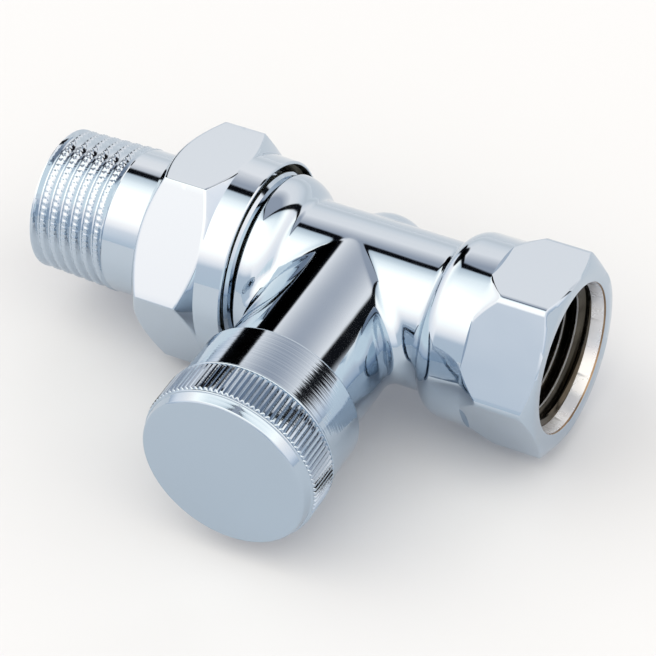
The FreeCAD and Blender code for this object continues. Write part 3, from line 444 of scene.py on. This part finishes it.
lathe(body, [(18.05, port_root), (18.05, 7.0, 0.2), (11.75, 7.0), (10.0, 0)], "pipe", body_steps)


def solid(name, piece):
    """A loose object for a mesh that is only used in making another."""
    bmesh.ops.remove_doubles(piece, verts=piece.verts, dist=0.001)
    bmesh.ops.holes_fill(piece, edges=piece.edges, sides=6)
    bmesh.ops.recalc_face_normals(piece, faces=piece.faces)
    data = bpy.data.meshes.new(name)
    piece.to_mesh(data)
    piece.free()
    item = bpy.data.objects.new(name, data)
    bpy.context.scene.collection.objects.link(item)
    return item


def combine(base, others):
    """The base with each other solid added to it or cut from it, as one mesh."""
    for other, operation in others:
        cut = base.modifiers.new(other.name, "BOOLEAN")
        cut.object = other
        cut.operation = operation
        cut.solver = "EXACT"
    bpy.context.view_layer.update()
    result = bmesh.new()
    result.from_object(base, bpy.context.evaluated_depsgraph_get())
    for item in [base] + [other for other, _ in others]:
        data = item.data
        bpy.data.objects.remove(item)
        bpy.data.meshes.remove(data)
    return result


branch = bmesh.new()
lathe(branch, [(0, 0)] + [(0.3 * row, branch_radius) for row in range(89)]
      + [(26.9, branch_radius, 0.2), (26.9, 10.2)], "stem", body_steps)
thread(branch, "stem", 26.9, 33.1, (10.2, 10.2), 0.8, body_steps, runout=0.9)
lathe(branch, [(33.1, 10.2), (33.5, 9.8), (33.5, 0)], "stem", body_steps)
back_boss = bmesh.new()
boss_rows = [(-boss_middle - boss_radius * math.sin(math.radians(4.5 * row)),
              boss_radius * math.cos(math.radians(4.5 * row))) for row in range(20)]
lathe(back_boss, [(0, 0), (0, boss_radius)] + [(-0.35 * row, boss_radius) for row in range(1, 20)]
      + boss_rows + [(-13.92, 0)], "stem", body_steps)
stem_bore = bmesh.new()
lathe(stem_bore, [
    (-10.33, 0), (-8.6, 5.2), (-2.0, 5.2), (-2.0, 4.6), (0.96, 4.6, 0.1), (0.96, 6.2, 0.1),
    (0.2, 6.2), (0.2, 7.6), (24.5, 7.6), (24.5, 8.35), (34.5, 8.35), (34.5, 0)], "stem", 64)
inlet_way = bmesh.new()
lathe(inlet_way, [(0, 0), (0, 3.5), (11.5, 3.5), (11.5, 0)], "pipe", 48)
bmesh.ops.rotate(inlet_way, verts=inlet_way.verts, cent=(stem_x, 0, 0),
                 matrix=Matrix.Rotation(math.radians(-18.4), 3, "Z"))
bmesh.ops.translate(inlet_way, verts=inlet_way.verts, vec=(0, 7.0, 0))
outlet_way = bmesh.new()
lathe(outlet_way, [(-12.5, 0), (-12.5, 4.2), (0, 4.2), (0, 0)], "pipe", 48)
bmesh.ops.translate(outlet_way, verts=outlet_way.verts, vec=(0, -4.8, 0))
body = combine(solid("valve_body_blank", body), (
    (solid("branch", branch), "UNION"), (solid("back_boss", back_boss), "UNION"),
    (solid("stem_bore", stem_bore), "DIFFERENCE"), (solid("inlet_way", inlet_way), "DIFFERENCE"),
    (solid("outlet_way", outlet_way), "DIFFERENCE")))


def skin(spot):
    """How far a spot lies outside the forging's skin, with soft fillets round branch and boss."""
    place = spot - Vector((stem_x, 0, 0))
    across = math.hypot(place.y, place.z)
    slope = (skin_radius(place.x + 0.01) - skin_radius(place.x - 0.01)) / 0.02
    tube = (across - skin_radius(place.x)) / math.hypot(1, slope)
    out = math.hypot(place.x, place.z)
    stub = out - branch_radius
    boss = math.sqrt(out * out + max(place.y - boss_middle, 0) ** 2) - boss_radius
    other, width = (stub, branch_fillet) if place.y < 0 else (boss, boss_fillet)
    square = 1 - min(place.z * place.z / max(across * out, 0.001), 1)
    return -soft_top(-tube, -other, max(width * square, 0.001))


def uphill(spot):
    """Direction in which a spot leaves the skin fastest."""
    steps = (Vector((0.01, 0, 0)), Vector((0, 0.01, 0)), Vector((0, 0, 0.01)))
    return Vector([skin(spot + step) - skin(spot - step) for step in steps]) / 0.02


# The forging's fillets: outer points near the branch's or the boss's foot move out to the skin.
for vert in body.verts:
    place = vert.co - Vector((stem_x, 0, 0))
    if -13.1 < place.x < 17.3 and place.y > -26.5 and -3 < skin(vert.co) < -0.0005:
        tube = math.hypot(place.y, place.z) - skin_radius(place.x)
        stub = math.hypot(place.x, place.z) - branch_radius
        ball = math.hypot(place.x, place.z, max(place.y - boss_middle, 0)) - boss_radius
        if min(abs(tube), abs(stub) if place.y < 0 else abs(ball)) > 0.002:
            continue
        for _ in range(3):
            climb = uphill(vert.co)
            vert.co -= climb * skin(vert.co) / climb.length_squared
# In the port: bare brass on the edge, thin satin plate on the lead, the pale plate on the thread's
# crests as painted highlight lines, and the dark brass in its grooves as painted shade.
for face in body.faces:
    place = face.calc_center_median() - Vector((stem_x, 0, 0))
    out = math.hypot(place.y, place.z)
    if 17.0 < place.x < port_face - 0.01 and out < 10.92:
        on_lead_or_highlit_crest = place.x > lead_end or out < thread_crest
        face.material_index = 3 if place.x > edge_start else 2 if on_lead_or_highlit_crest else 1
finish_mesh("valve_body_forging", body, "body", "valve_body",
            [body_plate, port_brass_with_painted_shade, satin_plate_and_crest_highlight, edge_brass])

# Union nut: turned from hexagon brass bar, chamfered at both ends of its flats and plated. Its
# round collar runs up to the dome, and its flange draws the tailpiece against the body.
nut_start, nut_flats_end, nut_root = -28.6, -18.6, 13.27
nut_steps = 240
# Bright plate on drawn bar: flatter and cleaner than the forging. Its turning rings are about
# 0.1 mm apart on the real nut, and are drawn at 0.35 mm to show at all.
nut_plate = chromium_plate("bright_chromium_plate_on_turned_bar", "#BAC7D4", 0.04, 9.0, 0.006,
                           ("X", 0.35, 0.0006))
# Brass in the nut's mouth, out of the plate's reach, painted a dark olive grey: painted shade of
# the recess inside the nut.
nut_brass_with_painted_shade = raw_brass("brass_with_painted_shade_inside_the_nut", ("#5A5648", "#3A382F"), 0.35, 0.3)
nut = bmesh.new()
lathe(nut, [
    (nut_flats_end, 14.95), (-14.7, 14.8), (-14.5, 14.62, 0.06), (-14.5, 14.42, 0.05),
    (-15.6, 14.2), (-16.2, nut_root)], "pipe", nut_steps)
thread(nut, "pipe", -24.4, -16.2, (nut_root, nut_root), -0.45, nut_steps)
lathe(nut, [
    (-24.4, nut_root), (-25.0, nut_root), (-25.0, 10.65), (nut_start, 10.65, 0.3),
    (nut_start, 14.76)], "pipe", nut_steps)
barrel = bmesh.new()
lathe(barrel, [(nut_start + row, 17.0) for row in range(11)], "pipe", nut_steps)
shape_hexagon(barrel, nut_start, nut_flats_end, 30.0, math.radians(68.85), (14.76, 1.347),
              (14.95, 1.481), nut_steps)
join(nut, barrel)
# The faces inside the nut's mouth take the dark brass, as painted shade.
for face in nut.faces:
    place = face.calc_center_median() - Vector((stem_x, 0, 0))
    if -24.5 < place.x < -14.6 and math.hypot(place.y, place.z) < 14.36:
        face.material_index = 1
finish_mesh("union_nut_bar", nut, "union_nut", "union_nut", [nut_plate, nut_brass_with_painted_shade])

# Tailpiece: a turned brass tube, plated. Its taper thread is nicked along every crest to hold
# the sealing hemp, a hexagon socket inside takes the fitting key, and a collar sits in the nut.
thread_start, thread_length, thread_tip, thread_swell = -48.1, 12.0, 10.3, 0.4
nick = (0.2, 0.06, 0.0, 0.06)
socket_radius = 7.275
tail_steps = 276
# Plate over a cut thread and a turned tube: a little hazier than the nut. Its turning rings are
# about 0.1 mm apart and are drawn at 0.25 mm.
tail_plate = chromium_plate("chromium_plate_on_threaded_tube", "#BAC7D4", 0.06, 5.0, 0.006,
                            ("X", 0.25, 0.0008))
tail = bmesh.new()
thread(tail, "pipe", thread_start, thread_start + thread_length,
       (thread_tip, thread_tip + thread_swell), 0.75, tail_steps, runout=0.5)
for vert in tail.verts:
    along = vert.co.x - stem_x
    crest = thread_tip + thread_swell * (along - thread_start) / thread_length
    if -47.8 < along < -36.9 and crest - math.hypot(vert.co.y, vert.co.z) < 0.1:
        step = round(math.atan2(vert.co.z, vert.co.y) / math.tau * tail_steps) % len(nick)
        cut = 1 - nick[step] / 10.5
        vert.co = (vert.co.x, vert.co.y * cut, vert.co.z * cut)
lathe(tail, [
    (-36.1, 10.7), (-36.0, 10.6), (-24.95, 10.6), (-24.95, 12.9, 0.2), (-22.45, 12.9, 0.2),
    (-22.45, 10.9), (-22.3, 10.9), (-20.8, 9.99), (-20.8, 8.06), (-19.2, 8.06), (-19.2, 9.06),
    (-17.5, 8.1, 0.1), (-17.5, 6.2, 0.1), (-48.3, 6.2, 0.2), (-48.3, 9.6, 0.1),
    (thread_start, thread_tip)], "pipe", tail_steps)
key_socket = bmesh.new()
bmesh.ops.create_cone(key_socket, cap_ends=True, segments=6, radius1=socket_radius,
                      radius2=socket_radius, depth=9.4)
bmesh.ops.rotate(key_socket, verts=key_socket.verts, matrix=Matrix.Rotation(math.pi / 2, 3, "Y"))
bmesh.ops.translate(key_socket, verts=key_socket.verts, vec=(stem_x - 44.0, 0, 0))
tail = combine(solid("tail_blank", tail), ((solid("key_socket", key_socket), "DIFFERENCE"),))
finish_mesh("tailpiece_tube", tail, "tail", "tailpiece", [tail_plate])

# Cap: turned brass, plated, screwed over the spindle by hand. A straight-knurled band gives the
# grip, and fine turning rings stay on the smooth skirt behind it.
ribs = 100
rib_cut = (0.36, 0.16, 0.0, 0.0, 0.0, 0.16)
knurl_radius = 12.95
cap_steps = ribs * len(rib_cut)
# Plate over a turned skirt: its rings comb every reflection into fine teeth. They are about
# 0.15 mm apart on the real cap and are drawn at 0.35 mm.
cap_plate = chromium_plate("chromium_plate_with_turning_rings", "#AFBECD", 0.07, 12.0, 0.004,
                           ("Y", 0.35, 0.009))
cap = bmesh.new()
lathe(cap, [
    (24.6, 10.9), (24.0, 11.2, 0.1), (24.0, 12.36, 0.35), (32.19, 12.36, 0.05), (32.19, 12.8, 0.12),
    (32.5, 12.8, 0.12), (32.55, 12.5), (32.8, knurl_radius, 0.1), (34.4, knurl_radius),
    (36.1, knurl_radius), (37.75, knurl_radius, 0.1), (38.0, 12.5), (38.03, 12.8, 0.12),
    (38.34, 12.8, 0.12), (38.4, 12.55, 0.05), (39.74, 12.26, 0.06), (39.94, 12.02, 0.06),
    (39.94, 6.0), (39.94, 0)], "stem", cap_steps)
for vert in cap.verts:
    out = math.hypot(vert.co.x - stem_x, vert.co.z)
    if out > 12.52 and 32.52 < -vert.co.y < 38.02:
        step = round(math.atan2(vert.co.z, vert.co.x - stem_x) / math.tau * cap_steps)
        scale = min(out, knurl_radius - rib_cut[step % len(rib_cut)]) / out
        vert.co = (stem_x + (vert.co.x - stem_x) * scale, vert.co.y, vert.co.z * scale)
lathe(cap, [(24.6, 10.9), (27.2, 10.9), (27.2, 10.25)], "stem", cap_steps)
thread(cap, "stem", 27.2, 36.4, (10.25, 10.25), -0.4, cap_steps, runout=0.9)
lathe(cap, [(36.4, 10.25), (37.3, 10.25, 0.2), (37.3, 0)], "stem", cap_steps)
finish_mesh("cap_turning", cap, "cap", "cap", [cap_plate])

# Bonnet, spindle and valve disc: turned brass, left unplated because the cap hides them, and
# screwed into the branch from the front. They keep their solids' shapes. Fresh cuts give the eye
# a warm yellow satin, brightest on the spindle, which its packing keeps clean.
bonnet_brass = raw_brass("turned_brass_bonnet", ("#C9A65E", "#A8853F"), 0.22, 0.25)
spindle_brass = raw_brass("turned_brass_spindle", ("#D2B06A", "#B0904C"), 0.18, 0.2)
holder_brass = raw_brass("turned_brass_disc_holder", ("#C4A05A", "#9C7C3C"), 0.25, 0.3)
for node, brass in (("bonnet", bonnet_brass), ("spindle", spindle_brass),
                    ("disc_holder", holder_brass), ("washer_screw", holder_brass)):
    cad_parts[node].data.materials.clear()
    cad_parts[node].data.materials.append(brass)

# Retaining ring and disc clip: bent from bright spring steel strip and wire, and snapped into
# their grooves. Drawing leaves fine streaks that give the eye a cool, slightly brushed grey.
# The streaks are about 0.05 mm wide and are drawn at 0.4 mm.
spring_steel, tree, shader = new_material("bright_spring_steel")
shader.inputs["Base Color"].default_value = linear("#A9ABAE")
shader.inputs["Metallic"].default_value = 1.0
place = add_node(tree, "ShaderNodeTexCoord")
drawing = add_node(tree, "ShaderNodeTexNoise", [("Vector", place.outputs["Object"])],
                   in_Scale=1000 / 0.4, in_Detail=2.0)
rough = add_node(tree, "ShaderNodeMapRange", [(0, drawing.outputs[0])], in_3=0.2, in_4=0.38)
bump = add_node(tree, "ShaderNodeBump", [("Height", drawing.outputs[0])],
                in_Strength=0.5, in_Distance=0.003 * MM)
tree.links.new(rough.outputs[0], shader.inputs["Roughness"])
tree.links.new(bump.outputs[0], shader.inputs["Normal"])
for node in ("retaining_ring", "disc_clip"):
    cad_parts[node].data.materials.clear()
    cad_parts[node].data.materials.append(spring_steel)

# Seals: the washer, the cap's seal and the rings are moulded EPDM rubber, stretched into their
# grooves. They look black and matt, with the fine pebble of the mould, which is about 0.05 mm
# and is drawn at 0.25 mm.
rubber, tree, shader = new_material("moulded_epdm_rubber")
place = add_node(tree, "ShaderNodeTexCoord")
pebble = add_node(tree, "ShaderNodeTexNoise", [("Vector", place.outputs["Object"])],
                  in_Scale=1000 / 0.25, in_Detail=3.0)
black = add_node(tree, "ShaderNodeValToRGB", [(0, pebble.outputs[0])],
                 stops=((0.3, "#161617"), (0.7, "#232325")))
rough = add_node(tree, "ShaderNodeMapRange", [(0, pebble.outputs[0])], in_3=0.5, in_4=0.75)
bump = add_node(tree, "ShaderNodeBump", [("Height", pebble.outputs[0])],
                in_Strength=0.8, in_Distance=0.01 * MM)
tree.links.new(black.outputs[0], shader.inputs["Base Color"])
tree.links.new(rough.outputs[0], shader.inputs["Roughness"])
tree.links.new(bump.outputs[0], shader.inputs["Normal"])
for node in ("bonnet_o_ring", "spindle_o_ring_inner", "spindle_o_ring_outer", "seat_washer",
             "cap_seal", "tail_o_ring"):
    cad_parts[node].data.materials.clear()
    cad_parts[node].data.materials.append(rubber)

bpy.context.view_layer.update()
